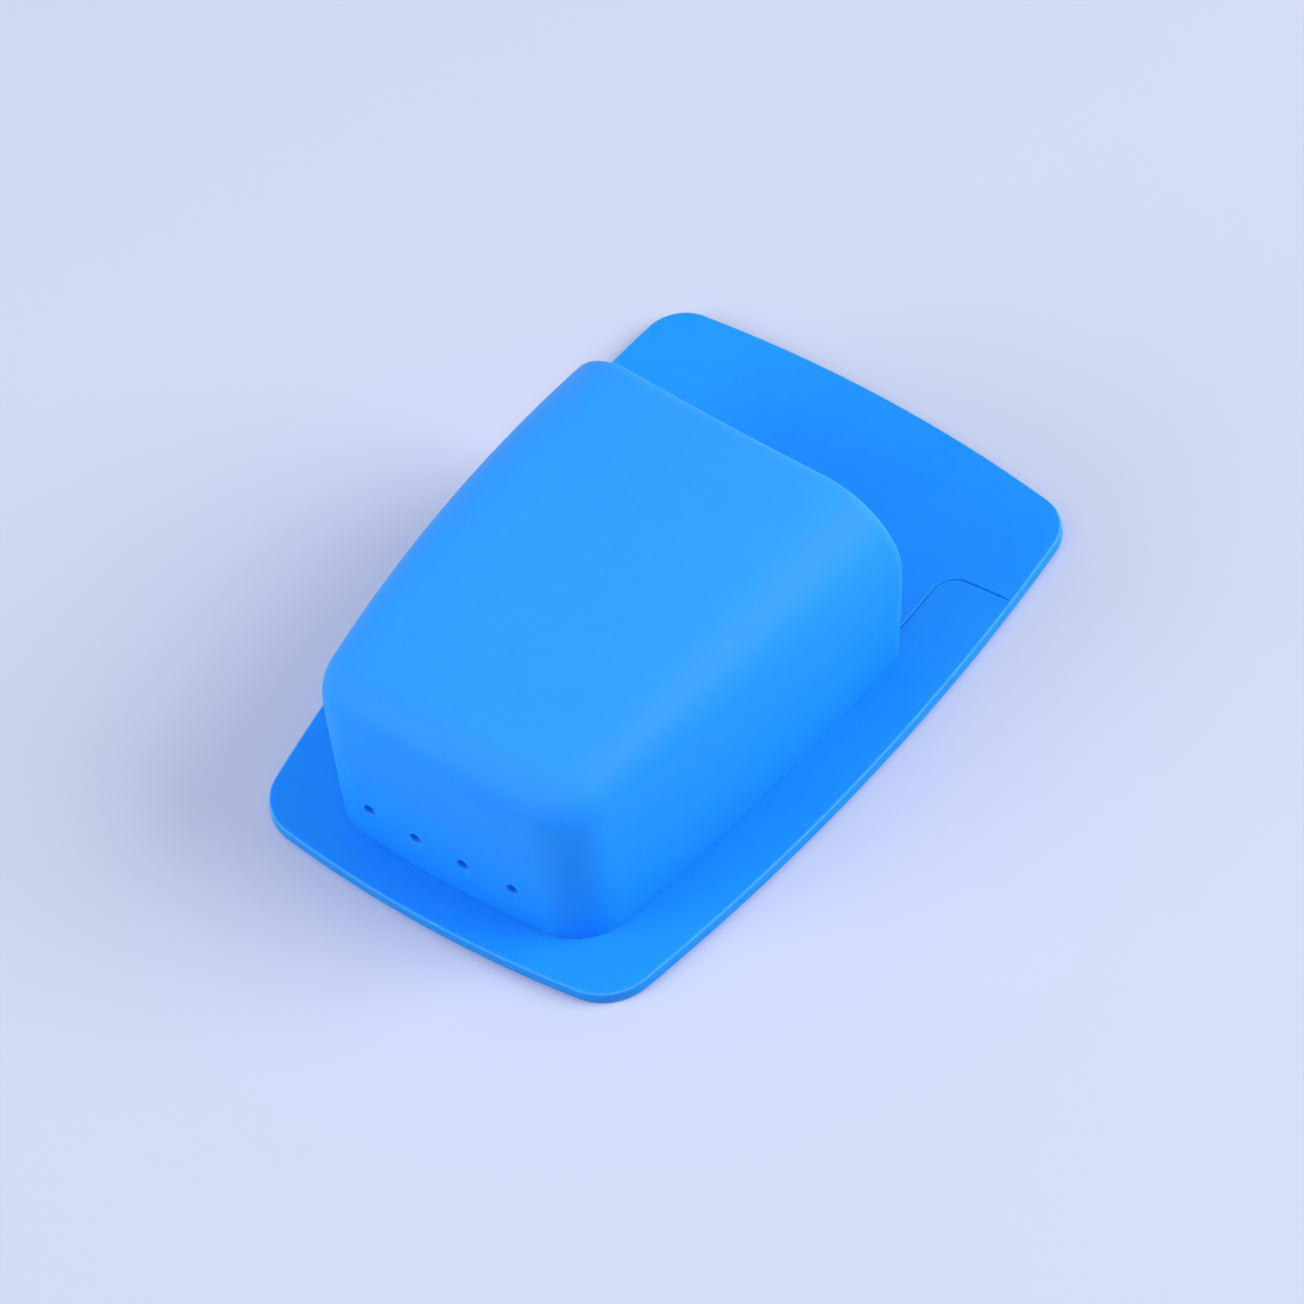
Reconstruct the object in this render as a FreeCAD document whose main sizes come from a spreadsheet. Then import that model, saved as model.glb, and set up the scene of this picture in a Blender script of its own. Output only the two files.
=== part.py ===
"""Silicone pocket caddy for a bathroom wall, lying on its back.

The back face lies on z = 0 and +Z points out of the wall. +Y runs from the closed end of the pocket
towards its open mouth. The origin is the middle of the bounding box, on the back face. Millimetres.

pocket_shell  front moulding: domed pocket, flange on three sides, two tabs beside the mouth
back_plate    back half: full outline, with a raised land that closes the back of the pocket
grip_sheet    tacky sheet, flush in a shallow recess of the back face
"""
import FreeCAD
import Part
import math
import os
import Sketcher

Vector = FreeCAD.Vector
doc = FreeCAD.newDocument("pocket_caddy")

# ---------------------------------------------------------------- driving dimensions

SIZES = (
    ("plate_length", 160.0, "overall length, over both bowed ends"),
    ("plate_width", 112.0, "overall width, at the widest place"),
    ("plate_widest_at", 18.0, "Y of the widest place"),
    ("plate_side_radius", 505.0, "radius of the bowed long sides"),
    ("plate_closed_radius", 294.0, "radius of the bowed end behind the closed end"),
    ("plate_mouth_radius", 338.0, "radius of the bowed end beyond the mouth"),
    ("closed_corner_radius", 12.4, "plate corners at the closed end"),
    ("mouth_corner_radius", 9.5, "plate corners beyond the mouth"),
    ("back_thickness", 1.8, "layer behind the flange"),
    ("flange_thickness", 1.5, "flange of the front moulding"),
    ("edge_round", 0.5, "rounding of the plate's front edge"),
    ("pocket_width", 86.5, "outside width of the pocket, at the widest place"),
    ("pocket_widest_at", 32.1, "Y of the widest place"),
    ("pocket_side_radius", 583.0, "radius of the bowed side walls"),
    ("pocket_end_reach", 70.2, "from the origin to the outside of the closed end"),
    ("pocket_end_radius", 255.0, "radius of the bowed end wall"),
    ("pocket_corner_radius", 13.6, "upright corners of the pocket"),
    ("pocket_height", 52.8, "highest point of the dome above the back face"),
    ("pocket_top_at", -23.1, "Y of the highest point"),
    ("arch_radius", 413.0, "lengthwise arch of the dome"),
    ("crown_radius", 200.0, "crosswise crown of the dome"),
    ("shoulder_closed", 11.5, "shoulder rounding at the closed end"),
    ("shoulder_mouth", 22.0, "shoulder rounding at the mouth"),
    ("wall", 3.0, "wall of the pocket"),
    ("mouth_at", 29.0, "Y of the mouth's two feet on the flange"),
    ("mouth_scoop", 207.0, "radius of the mouth's scoop, seen from above"),
    ("mouth_lean", 9.7, "degrees by which the mouth leans outward"),
    ("seam_end", 51.6, "Y where the seam turns out to the plate's edge"),
    ("seam_corner_radius", 4.5, "corner of the tab beside the mouth"),
    ("seam_groove", 0.3, "chamfer that opens the seam as a fine groove"),
    ("drain_diameter", 2.8, "drain hole"),
    ("drain_pitch", 12.6, "from one drain hole to the next"),
    ("drain_height", 13.9, "drain holes above the back face"),
    ("drain_offset", -1.9, "X of the middle of the row of holes"),
    ("grip_margin", 5.0, "grip sheet inside the plate's outline"),
    ("grip_thickness", 0.6, "grip sheet and the depth of its recess"),
)
DRAINS = 4
CLEAR = 15.0

sheet = doc.addObject("Spreadsheet::Sheet", "Sizes")
for row, (alias, value, meaning) in enumerate(SIZES, start=1):
    sheet.set("A%d" % row, meaning)
    sheet.set("B%d" % row, str(value))
    sheet.setAlias("B%d" % row, alias)
doc.recompute()


def size(alias):
    """Value of a cell of the sheet."""
    return float(sheet.get(alias))


# ---------------------------------------------------------------- sketches and bodies

def new_body(name):
    """Empty body of the document."""
    return doc.addObject("PartDesign::Body", name)


def new_sketch(body, name, role="XY_Plane", lift=None):
    """Sketch on an origin plane of the body, lifted along its normal by an expression."""
    plane = [item for item in body.Origin.OriginFeatures if item.Role == role][0]
    sketch = body.newObject("Sketcher::SketchObject", name)
    sketch.AttachmentSupport = [(plane, "")]
    sketch.MapMode = "FlatFace"
    if lift:
        sketch.setExpression("AttachmentOffset.Base.z", lift)
    return sketch


def bind(sketch, kind, where, value, expression):
    """Dimension of a sketch, tied to the sheet."""
    number = sketch.addConstraint(Sketcher.Constraint(kind, *where, value))
    sketch.setExpression("Constraints[%d]" % number, expression)


def join(sketch, first, first_end, second, second_end):
    """Two curve ends at one point. End 1 is the start and 2 the finish of a curve."""
    sketch.addConstraint(Sketcher.Constraint("Coincident", first, first_end, second, second_end))


def line(sketch, start, finish, direction):
    """Level or upright line, whose place its neighbours and dimensions settle."""
    edge = sketch.addGeometry(Part.LineSegment(Vector(*start, 0), Vector(*finish, 0)), False)
    sketch.addConstraint(Sketcher.Constraint(direction, edge))
    return edge


def cell(alias, factor=1.0):
    """Number and expression of a cell times a factor."""
    return factor * size(alias), "%g * Sizes.%s" % (factor, alias)


def less(whole, part):
    """Difference of two pairs of a number and an expression."""
    return whole[0] - part[0], "%s - %s" % (whole[1], part[1])


NOTHING = (0.0, "0")


def side_circle(heading, reach, radius, across):
    """Middle and radius of a bowed side's circle, each as numbers and as expressions.

    heading is the side that it bulges to: "+x", "-x", "+y" or "-y". Its top point is at the distance
    reach from the origin, and at across along the other axis. Each of reach, radius and across is a
    pair of a number and the expression that gives it.
    """
    sign = 1 if heading[0] == "+" else -1
    numbers = [sign * (reach[0] - radius[0]), across[0]]
    texts = ["%d * (%s - %s)" % (sign, reach[1], radius[1]), across[1]]
    if heading[1] == "y":
        numbers.reverse()
        texts.reverse()
    return Vector(numbers[0], numbers[1], 0), texts, radius


def corner_middle(before, after, corner):
    """Middle of the round corner that touches two neighbouring sides from the inside."""
    first, second = before[0], after[0]
    first_reach = before[2][0] - corner
    second_reach = after[2][0] - corner
    apart = second - first
    along = (apart.Length ** 2 + first_reach ** 2 - second_reach ** 2) / (2 * apart.Length)
    beside = math.sqrt(first_reach ** 2 - along ** 2)
    way = apart / apart.Length
    return first + way * along + Vector(-way.y, way.x, 0) * beside


def arc_between(sketch, middle, radius, start, finish):
    """Counterclockwise arc about a middle, between the directions of two points."""
    first = math.atan2(start.y - middle.y, start.x - middle.x)
    last = math.atan2(finish.y - middle.y, finish.x - middle.x)
    if last < first:
        last += 2 * math.pi
    circle = Part.Circle(middle, Vector(0, 0, 1), radius[0])
    arc = sketch.addGeometry(Part.ArcOfCircle(circle, first, last), False)
    bind(sketch, "Radius", (arc,), *radius)
    return arc


def bowed_chain(sketch, sides, corners, inset, ends=()):
    """Bowed sides with tangent round corners between them, counterclockwise.

    sides are circles of side_circle, and corners are the radii of the round corners after each
    side, as pairs of a number and an expression. inset moves them all inward. ends are the two end
    points of an open chain, and a closed one has none. Gives the sides' arcs.
    """
    middles = [corner_middle(side, sides[(k + 1) % len(sides)], corner[0])
               for k, (side, corner) in enumerate(zip(sides, corners))]
    starts = [ends[0]] + middles if ends else middles[-1:] + middles[:-1]
    finishes = middles + [ends[1]] if ends else middles
    arcs = []
    for (middle, texts, radius), start, finish in zip(sides, starts, finishes):
        arc = arc_between(sketch, middle, less(radius, inset), start, finish)
        bind(sketch, "DistanceX", (-1, 1, arc, 3), middle.x, texts[0])
        bind(sketch, "DistanceY", (-1, 1, arc, 3), middle.y, texts[1])
        arcs.append(arc)
    for k, (middle, radius) in enumerate(zip(middles, corners)):
        following = (k + 1) % len(sides)
        start = middle * 2 - sides[k][0]
        finish = middle * 2 - sides[following][0]
        corner = arc_between(sketch, middle, less(radius, inset), start, finish)
        sketch.addConstraint(Sketcher.Constraint("Tangent", arcs[k], 2, corner, 1))
        sketch.addConstraint(Sketcher.Constraint("Tangent", corner, 2, arcs[following], 1))
    return arcs


def plate_outline(sketch, inset=NOTHING):
    """Plate's closed outline: four bowed sides and four round corners."""
    half = cell("plate_width", 0.5)
    bow = cell("plate_side_radius")
    widest = cell("plate_widest_at")
    end = cell("plate_length", 0.5)
    sides = (side_circle("+x", half, bow, widest),
             side_circle("+y", end, cell("plate_mouth_radius"), NOTHING),
             side_circle("-x", half, bow, widest),
             side_circle("-y", end, cell("plate_closed_radius"), NOTHING))
    mouth = cell("mouth_corner_radius")
    closed = cell("closed_corner_radius")
    bowed_chain(sketch, sides, (mouth, mouth, closed, closed), inset)


def pocket_sides(sketch, inset, upper):
    """Sides and closed end of the pocket, with its round corners, open at the upper end.

    Gives the right and the left side.
    """
    half = cell("pocket_width", 0.5)
    bow = cell("pocket_side_radius")
    widest = cell("pocket_widest_at")
    sides = (side_circle("-x", half, bow, widest),
             side_circle("-y", cell("pocket_end_reach"), cell("pocket_end_radius"), NOTHING),
             side_circle("+x", half, bow, widest))
    corner = cell("pocket_corner_radius")
    ends = (Vector(-half[0], upper, 0), Vector(half[0], upper, 0))
    left, bottom, right = bowed_chain(sketch, sides, (corner, corner), inset, ends)
    return right, left


def pad(body, sketch, name, length):
    """Extrusion upward by an expression."""
    feature = body.newObject("PartDesign::Pad", name)
    feature.Profile = sketch
    feature.setExpression("Length", length)
    doc.recompute()
    return feature


def upright_edges(shape, test):
    """Names of the straight upright edges whose place passes the test."""
    names = []
    for number, edge in enumerate(shape.Edges, start=1):
        ends = [vertex.Point for vertex in edge.Vertexes]
        upright = len(ends) == 2 and math.hypot(ends[0].x - ends[1].x, ends[0].y - ends[1].y) < 1e-4
        if upright and test(edge.CenterOfMass):
            names.append("Edge%d" % number)
    return names


def level_edges(shape, height, test):
    """Names of the edges at one height whose middle passes the test."""
    names = []
    for number, edge in enumerate(shape.Edges, start=1):
        box = edge.BoundBox
        level = abs(box.ZMin - height) < 1e-4 and abs(box.ZMax - height) < 1e-4
        if level and test(edge.CenterOfMass):
            names.append("Edge%d" % number)
    return names


def dress(body, kind, name, base, edges, expression):
    """Fillet or chamfer of named edges, with its size tied to the sheet."""
    feature = body.newObject("PartDesign::" + kind, name)
    feature.Base = (base, edges)
    feature.setExpression("Radius" if kind == "Fillet" else "Size", expression)
    doc.recompute()
    return feature


PLATE_TOP = "Sizes.back_thickness + Sizes.flange_thickness"
plate_top = size("back_thickness") + size("flange_thickness")


def rounded_plate(body, name, lift, length):
    """Plate of the full outline with a rounded front edge."""
    sketch = new_sketch(body, name + "Outline", lift=lift)
    plate_outline(sketch)
    slab = pad(body, sketch, name + "Slab", length)
    front = level_edges(slab.Shape, plate_top, lambda spot: True)
    return dress(body, "Fillet", name + "FrontEdge", slab, front, "Sizes.edge_round")


# ---------------------------------------------------------------- seam between the two halves

def seam_outline(sketch, beyond):
    """Closed outline along the seam.

    The seam follows the inside of the pocket's wall, runs on past the mouth and turns out to the
    plate's edge. beyond = +1 closes it round the mouth end (the land's side) and -1 closes it round
    the closed end (the flange's side).
    """
    half = size("pocket_width") / 2 - size("wall")
    turn = size("seam_end")
    side = size("plate_width") / 2 + CLEAR
    end = beyond * (size("plate_length") / 2 + CLEAR)
    right, left = pocket_sides(sketch, cell("wall"), turn)
    right_out = line(sketch, (half, turn), (side, turn), "Horizontal")
    right_up = line(sketch, (side, turn), (side, end), "Vertical")
    far = line(sketch, (side, end), (-side, end), "Horizontal")
    left_up = line(sketch, (-side, end), (-side, turn), "Vertical")
    left_out = line(sketch, (-side, turn), (-half, turn), "Horizontal")
    chain = (right, right_out, right_up, far, left_up, left_out, left)
    for before, after in zip(chain, chain[1:]):
        join(sketch, before, 2, after, 1)
    for edge in (right_out, left_out):
        bind(sketch, "DistanceY", (-1, 1, edge, 1), turn, "Sizes.seam_end")
    bind(sketch, "DistanceX", (-1, 1, far, 1), side, "Sizes.plate_width / 2 + %g" % CLEAR)
    bind(sketch, "DistanceX", (-1, 1, far, 2), -side, "-Sizes.plate_width / 2 - %g" % CLEAR)
    bind(sketch, "DistanceY", (-1, 1, far, 1), end, "%d * (Sizes.plate_length / 2 + %g)" % (beyond, CLEAR))


def is_tab_corner(spot):
    """Corner where the seam turns out to the plate's edge."""
    inside = abs(spot.x) < size("pocket_width") / 2 + 4
    return inside and abs(spot.y - size("seam_end")) < 1


def round_tabs(body, base, name):
    """Rounds the upright corners of the seam, where it turns out to the plate's edge."""
    tabs = upright_edges(base.Shape, is_tab_corner)
    return dress(body, "Fillet", name + "TabCorners", base, tabs, "Sizes.seam_corner_radius")


# ---------------------------------------------------------------- back plate

def build_back_plate():
    """Full plate, with a seat for the flange and a recess for the grip sheet."""
    body = new_body("back_plate")
    plate = rounded_plate(body, "Back", "0", PLATE_TOP)
    seat_sketch = new_sketch(body, "SeatOutline", lift=PLATE_TOP)
    seam_outline(seat_sketch, -1)
    seat = body.newObject("PartDesign::Pocket", "FlangeSeat")
    seat.Profile = seat_sketch
    seat.setExpression("Length", "Sizes.flange_thickness")
    doc.recompute()
    land = round_tabs(body, seat, "Land")
    groove = level_edges(land.Shape, plate_top, on_seam)
    grooved = dress(body, "Chamfer", "SeamGroove", land, groove, "Sizes.seam_groove")
    recess_sketch = new_sketch(body, "RecessOutline")
    plate_outline(recess_sketch, cell("grip_margin"))
    recess = body.newObject("PartDesign::Pocket", "GripRecess")
    recess.Profile = recess_sketch
    recess.setExpression("Length", "Sizes.grip_thickness")
    recess.Reversed = True
    doc.recompute()
    return body


def on_seam(spot):
    """Middle of a front edge that lies on the seam, not on the plate's outer edge."""
    inner = abs(spot.x) < size("pocket_width") / 2 and spot.y < size("seam_end") + 2
    outward = abs(spot.y - size("seam_end")) < 0.5 and abs(spot.x) < size("plate_width") / 2 - 1
    return inner or outward


# ---------------------------------------------------------------- grip sheet

def build_grip_sheet():
    """Thin sheet that fills the recess of the back plate."""
    body = new_body("grip_sheet")
    sketch = new_sketch(body, "SheetOutline")
    plate_outline(sketch, cell("grip_margin"))
    pad(body, sketch, "SheetSlab", "Sizes.grip_thickness")
    return body


# ---------------------------------------------------------------- pocket

def dome_blank(name, floor, inset):
    """Dome before its shoulders are rounded: upright walls under an arched and crowned top.

    It runs on past the mouth. floor is the expression of its lowest height, and inset moves all
    its faces inward.
    """
    body = new_body(name)
    sketch = new_sketch(body, name + "Outline", lift=floor)
    reach = size("mouth_at") + CLEAR + 5
    right, left = pocket_sides(sketch, inset, reach)
    half = size("pocket_width") / 2 - inset[0]
    far = line(sketch, (half, reach), (-half, reach), "Horizontal")
    join(sketch, right, 2, far, 1)
    join(sketch, far, 2, left, 1)
    bind(sketch, "DistanceY", (-1, 1, far, 1), reach, "Sizes.mouth_at + %g" % (CLEAR + 5))
    block = pad(body, sketch, name + "Block", "Sizes.pocket_height + 5")
    add_top(body, name, block, inset)
    return body


def add_top(body, name, base, inset):
    """Cuts the top to a crowned arc, turned about a level axis far below the dome."""
    sketch = new_sketch(body, name + "TopProfile", "XZ_Plane", "-Sizes.pocket_top_at")
    half = size("pocket_width")
    crown = size("crown_radius") - inset[0]
    height = size("pocket_height") - inset[0]
    middle = Vector(0, height - crown, 0)
    spread = math.asin(half / crown)
    ring = Part.Circle(middle, Vector(0, 0, 1), crown)
    arc = sketch.addGeometry(Part.ArcOfCircle(ring, math.pi / 2 - spread, math.pi / 2 + spread), False)
    low = height - crown + crown * math.cos(spread)
    lid = height + 2 * CLEAR
    left = line(sketch, (-half, low), (-half, lid), "Vertical")
    roof = line(sketch, (-half, lid), (half, lid), "Horizontal")
    right = line(sketch, (half, lid), (half, low), "Vertical")
    axis = sketch.addGeometry(Part.LineSegment(Vector(-10, height - size("arch_radius"), 0),
                                               Vector(10, height - size("arch_radius"), 0)), True)
    sketch.addConstraint(Sketcher.Constraint("Horizontal", axis))
    for before, after in ((arc, left), (left, roof), (roof, right), (right, arc)):
        join(sketch, before, 2, after, 1)
    bind(sketch, "DistanceX", (-1, 1, arc, 3), 0.0, "0")
    bind(sketch, "DistanceY", (-1, 1, arc, 3), middle.y,
         "Sizes.pocket_height - Sizes.crown_radius")
    bind(sketch, "Radius", (arc,), crown, "Sizes.crown_radius - %s" % inset[1])
    bind(sketch, "DistanceX", (-1, 1, roof, 1), -half, "-Sizes.pocket_width")
    bind(sketch, "DistanceX", (-1, 1, roof, 2), half, "Sizes.pocket_width")
    bind(sketch, "DistanceY", (-1, 1, roof, 1), lid, "Sizes.pocket_height - %s + %g" % (inset[1], 2 * CLEAR))
    bind(sketch, "DistanceX", (-1, 1, axis, 1), -10.0, "-10")
    bind(sketch, "DistanceX", (-1, 1, axis, 2), 10.0, "10")
    bind(sketch, "DistanceY", (-1, 1, axis, 1), height - size("arch_radius"),
         "Sizes.pocket_height - %s - Sizes.arch_radius" % inset[1])
    before = base.Shape.Volume
    top = body.newObject("PartDesign::Groove", name + "Top")
    top.Profile = sketch
    top.ReferenceAxis = (sketch, ["Axis0"])
    top.Midplane = True
    top.Angle = 40
    doc.recompute()
    if top.Shape.Volume > before - 100:
        raise RuntimeError(name + ": the top was not cut")


def round_shoulders(name, body, inset):
    """Rounding of the dome's top edges, which widens along both sides towards the mouth.

    The first edge is one that runs the same way as the top's outline, and so both radii of every
    edge are read along that outline.
    """
    closed = size("shoulder_closed") - inset
    mouth = size("shoulder_mouth") - inset
    shape = body.Shape
    top = max(shape.Faces, key=lambda face: face.CenterOfMass.z)
    end = max(vertex.Y for vertex in top.Vertexes)
    turn = max(vertex.Y for vertex in top.Vertexes if vertex.Y < 0)
    picked = []
    for edge in sorted(top.Edges, key=lambda item: item.Orientation != "Forward"):
        if edge.BoundBox.YMin > end - 0.5:
            continue
        number = [k for k, other in enumerate(shape.Edges, start=1) if other.isSame(edge)][0]
        places = (edge.firstVertex(True).Y, edge.lastVertex(True).Y)
        first, last = [closed + (mouth - closed) * max(0.0, place - turn) / (end - turn) for place in places]
        picked.append((number, first, last))
    rounded = doc.addObject("Part::Fillet", name)
    rounded.Base = body
    rounded.Edges = picked
    doc.recompute()
    return rounded


def mouth_tool():
    """Block beyond the mouth: its near face is scooped in plan and leans outward."""
    body = new_body("MouthTool")
    sketch = new_sketch(body, "MouthOutline", lift=PLATE_TOP)
    half = size("pocket_width") / 2
    radius = size("mouth_scoop")
    foot = size("mouth_at")
    far = size("plate_length")
    centre_y = foot + math.sqrt(radius ** 2 - half ** 2)
    centre_text = "Sizes.mouth_at + sqrt(Sizes.mouth_scoop ^ 2 - (Sizes.pocket_width / 2) ^ 2)"
    side = half + CLEAR
    spread = math.asin(side / radius)
    ring = Part.Circle(Vector(0, centre_y, 0), Vector(0, 0, 1), radius)
    arc = sketch.addGeometry(Part.ArcOfCircle(ring, -math.pi / 2 - spread, -math.pi / 2 + spread), False)
    edge_y = centre_y - radius * math.cos(spread)
    right = line(sketch, (side, edge_y), (side, far), "Vertical")
    back = line(sketch, (side, far), (-side, far), "Horizontal")
    left = line(sketch, (-side, far), (-side, edge_y), "Vertical")
    for before, after in ((arc, right), (right, back), (back, left), (left, arc)):
        join(sketch, before, 2, after, 1)
    bind(sketch, "DistanceX", (-1, 1, arc, 3), 0.0, "0")
    bind(sketch, "DistanceY", (-1, 1, arc, 3), centre_y, centre_text)
    bind(sketch, "Radius", (arc,), radius, "Sizes.mouth_scoop")
    bind(sketch, "DistanceX", (-1, 1, back, 1), side, "Sizes.pocket_width / 2 + %g" % CLEAR)
    bind(sketch, "DistanceX", (-1, 1, back, 2), -side, "-Sizes.pocket_width / 2 - %g" % CLEAR)
    bind(sketch, "DistanceY", (-1, 1, back, 1), far, "Sizes.plate_length")
    block = body.newObject("PartDesign::Pad", "MouthBlock")
    block.Profile = sketch
    block.UseCustomVector = True
    block.Direction = Vector(0, math.tan(math.radians(size("mouth_lean"))), 1)
    block.setExpression("Direction.y", "tan(Sizes.mouth_lean * 1 deg)")
    block.AlongSketchNormal = True
    block.setExpression("Length", "Sizes.pocket_height + 10")
    doc.recompute()
    return body


def drain_tools():
    """Row of drills through the end wall, low over the flange."""
    drills = []
    for k in range(DRAINS):
        drill = doc.addObject("Part::Cylinder", "Drain%d" % (k + 1))
        drill.setExpression("Radius", "Sizes.drain_diameter / 2")
        drill.setExpression("Height", "Sizes.pocket_corner_radius + 10")
        drill.Placement.Rotation = FreeCAD.Rotation(Vector(1, 0, 0), -90)
        place = "Sizes.drain_offset + %g * Sizes.drain_pitch" % (k - (DRAINS - 1) / 2)
        drill.setExpression("Placement.Base.x", place)
        drill.setExpression("Placement.Base.y", "-Sizes.pocket_end_reach - 5")
        drill.setExpression("Placement.Base.z", "Sizes.drain_height")
        drills.append(drill)
    return drills


def combine(kind, name, first, second):
    """Part::Cut or Part::Fuse of two objects."""
    result = doc.addObject("Part::" + kind, name)
    result.Base = first
    result.Tool = second
    doc.recompute()
    return result


def build_pocket_shell():
    """Front moulding: flange and hollow dome, less the land's footprint."""
    outer = dome_blank("DomeOuter", "Sizes.back_thickness", NOTHING)
    inner = dome_blank("DomeInner", PLATE_TOP, cell("wall"))
    skin = round_shoulders("DomeSkin", outer, 0.0)
    hollow = round_shoulders("DomeHollow", inner, size("wall"))
    dome = combine("Cut", "HollowDome", skin, hollow)
    open_dome = combine("Cut", "OpenDome", dome, mouth_tool())
    flange = new_body("Flange")
    rounded_plate(flange, "Flange", "Sizes.back_thickness", "Sizes.flange_thickness")
    whole = combine("Fuse", "FlangedDome", open_dome, flange)
    footprint = new_body("LandFootprint")
    sketch = new_sketch(footprint, "FootprintOutline")
    seam_outline(sketch, 1)
    block = pad(footprint, sketch, "FootprintBlock", PLATE_TOP)
    round_tabs(footprint, block, "Footprint")
    shell = combine("Cut", "SeatedDome", whole, footprint)
    drills = doc.addObject("Part::MultiFuse", "Drains")
    drills.Shapes = drain_tools()
    doc.recompute()
    return combine("Cut", "pocket_shell", shell, drills)


# ---------------------------------------------------------------- build, check and write

NODES = (build_pocket_shell(), build_back_plate(), build_grip_sheet())
for node in NODES:
    node.Label = node.Name
    node.Placement = FreeCAD.Placement()
doc.recompute()

for item in doc.Objects:
    if "Invalid" in item.State or "Error" in item.State:
        raise RuntimeError("%s failed: %s" % (item.Name, item.State))
for node in NODES:
    if node.Shape.isNull() or not node.Shape.isValid() or len(node.Shape.Solids) != 1:
        raise RuntimeError("%s is not one valid solid" % node.Label)

os.makedirs("parts", exist_ok=True)
for node in NODES:
    node.Shape.exportStep("parts/%s.step" % node.Label)
    box = node.Shape.BoundBox
    print("%-13s volume %9.1f  x %7.2f %7.2f  y %7.2f %7.2f  z %6.2f %6.2f" % (
        node.Label, node.Shape.Volume, box.XMin, box.XMax, box.YMin, box.YMax, box.ZMin, box.ZMax))
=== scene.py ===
import bmesh
import bpy
import numpy as np
from mathutils import Matrix


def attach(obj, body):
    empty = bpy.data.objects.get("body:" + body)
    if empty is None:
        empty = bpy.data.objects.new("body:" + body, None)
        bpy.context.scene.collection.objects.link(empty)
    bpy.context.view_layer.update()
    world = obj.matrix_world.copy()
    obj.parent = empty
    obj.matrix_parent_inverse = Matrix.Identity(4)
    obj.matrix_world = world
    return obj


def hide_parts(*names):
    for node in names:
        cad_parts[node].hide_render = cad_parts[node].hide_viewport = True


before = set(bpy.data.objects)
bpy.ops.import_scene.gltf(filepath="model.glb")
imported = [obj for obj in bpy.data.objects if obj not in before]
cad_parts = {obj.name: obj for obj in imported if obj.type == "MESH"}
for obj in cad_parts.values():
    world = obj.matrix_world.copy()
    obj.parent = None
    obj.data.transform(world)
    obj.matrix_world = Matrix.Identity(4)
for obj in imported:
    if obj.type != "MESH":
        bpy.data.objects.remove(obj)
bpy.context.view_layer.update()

# ---------------------------------------------------------------- grip sheet
# Thin sheet of tacky silicone, flush in a shallow recess of the back, that holds the caddy to a
# tile. It is moulded in the blue of the rest and is a little glossier.

# sizes are in millimetres, and angles in radians where nothing else is said
MM = 0.001
CLOSED_END, MOUTH_END = -80.0, 79.98
PLATE_WIDTH, PLATE_WIDEST_AT = 112.0, 18.0
SIDE_BOW, CLOSED_BOW, MOUTH_BOW = 505.0, 294.0, 338.0
CLOSED_CORNER, MOUTH_CORNER = 12.4, 9.5
GRIP_MARGIN, GRIP_DEPTH, GRIP_GAP = 5.0, 0.6, 0.08
GRIP_EDGE_IN, GRIP_EDGE_UP, GRIP_CLEAR = 0.15, 0.12, 0.01
END_STEPS, CORNER_STEPS, SIDE_STEPS = 24, 28, 60
SHARP_ANGLE = np.radians(32.0)
WELD_UNDER, SLIVER_UNDER = 0.003, 0.002
TACKY_BLUE = (0.002, 0.30, 0.93)
# pale blue of dust and lint, which the painted highlights on edges and up-facing surfaces also mix
# towards
DUST_AND_HIGHLIGHT_BLUE = (0.15, 0.5, 1.0)


def meeting(first, first_reach, second, second_reach):
    """Point at two distances from two middles, on the left of the way from the first to the second.

    With the middles D apart it lies (D^2 + r1^2 - r2^2) / 2D along that way, and beside it by the
    other leg of the right-angled triangle on r1.
    """
    apart = second - first
    distance = np.hypot(*apart)
    along = (distance ** 2 + first_reach ** 2 - second_reach ** 2) / (2 * distance)
    way = apart / distance
    return first + way * along + np.array([-way[1], way[0]]) * np.sqrt(first_reach ** 2 - along ** 2)


def bearing(middle, point):
    """Angle of the direction from a middle to a point."""
    return np.arctan2(point[1] - middle[1], point[0] - middle[0])


def arc(middle, radius, angles, inward=1.0, keep=None):
    """Stretch of an outline: middle + (radius - inward s)(cos a, sin a), over angles a and offsets s.

    Where two stretches meet in a sharp corner, keep limits the angles at each offset.
    """
    def points(offsets):
        radii = radius - inward * offsets[None, :]
        turn = np.repeat(angles[:, None], len(offsets), axis=1)
        if keep is not None:
            turn = keep(turn, radii, offsets[None, :])
        return np.stack([middle[0] + radii * np.cos(turn), middle[1] + radii * np.sin(turn)], axis=-1)
    return points


def edge_rows(chain, offsets, heights):
    """Grid (courses, rows, 3) of a flat body's edge: offset curves of its outline at given heights."""
    plan = np.concatenate([points(np.array(offsets)) for points in chain])
    return np.concatenate([plan, np.broadcast_to(heights, plan.shape[:2])[..., None]], axis=-1)


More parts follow.
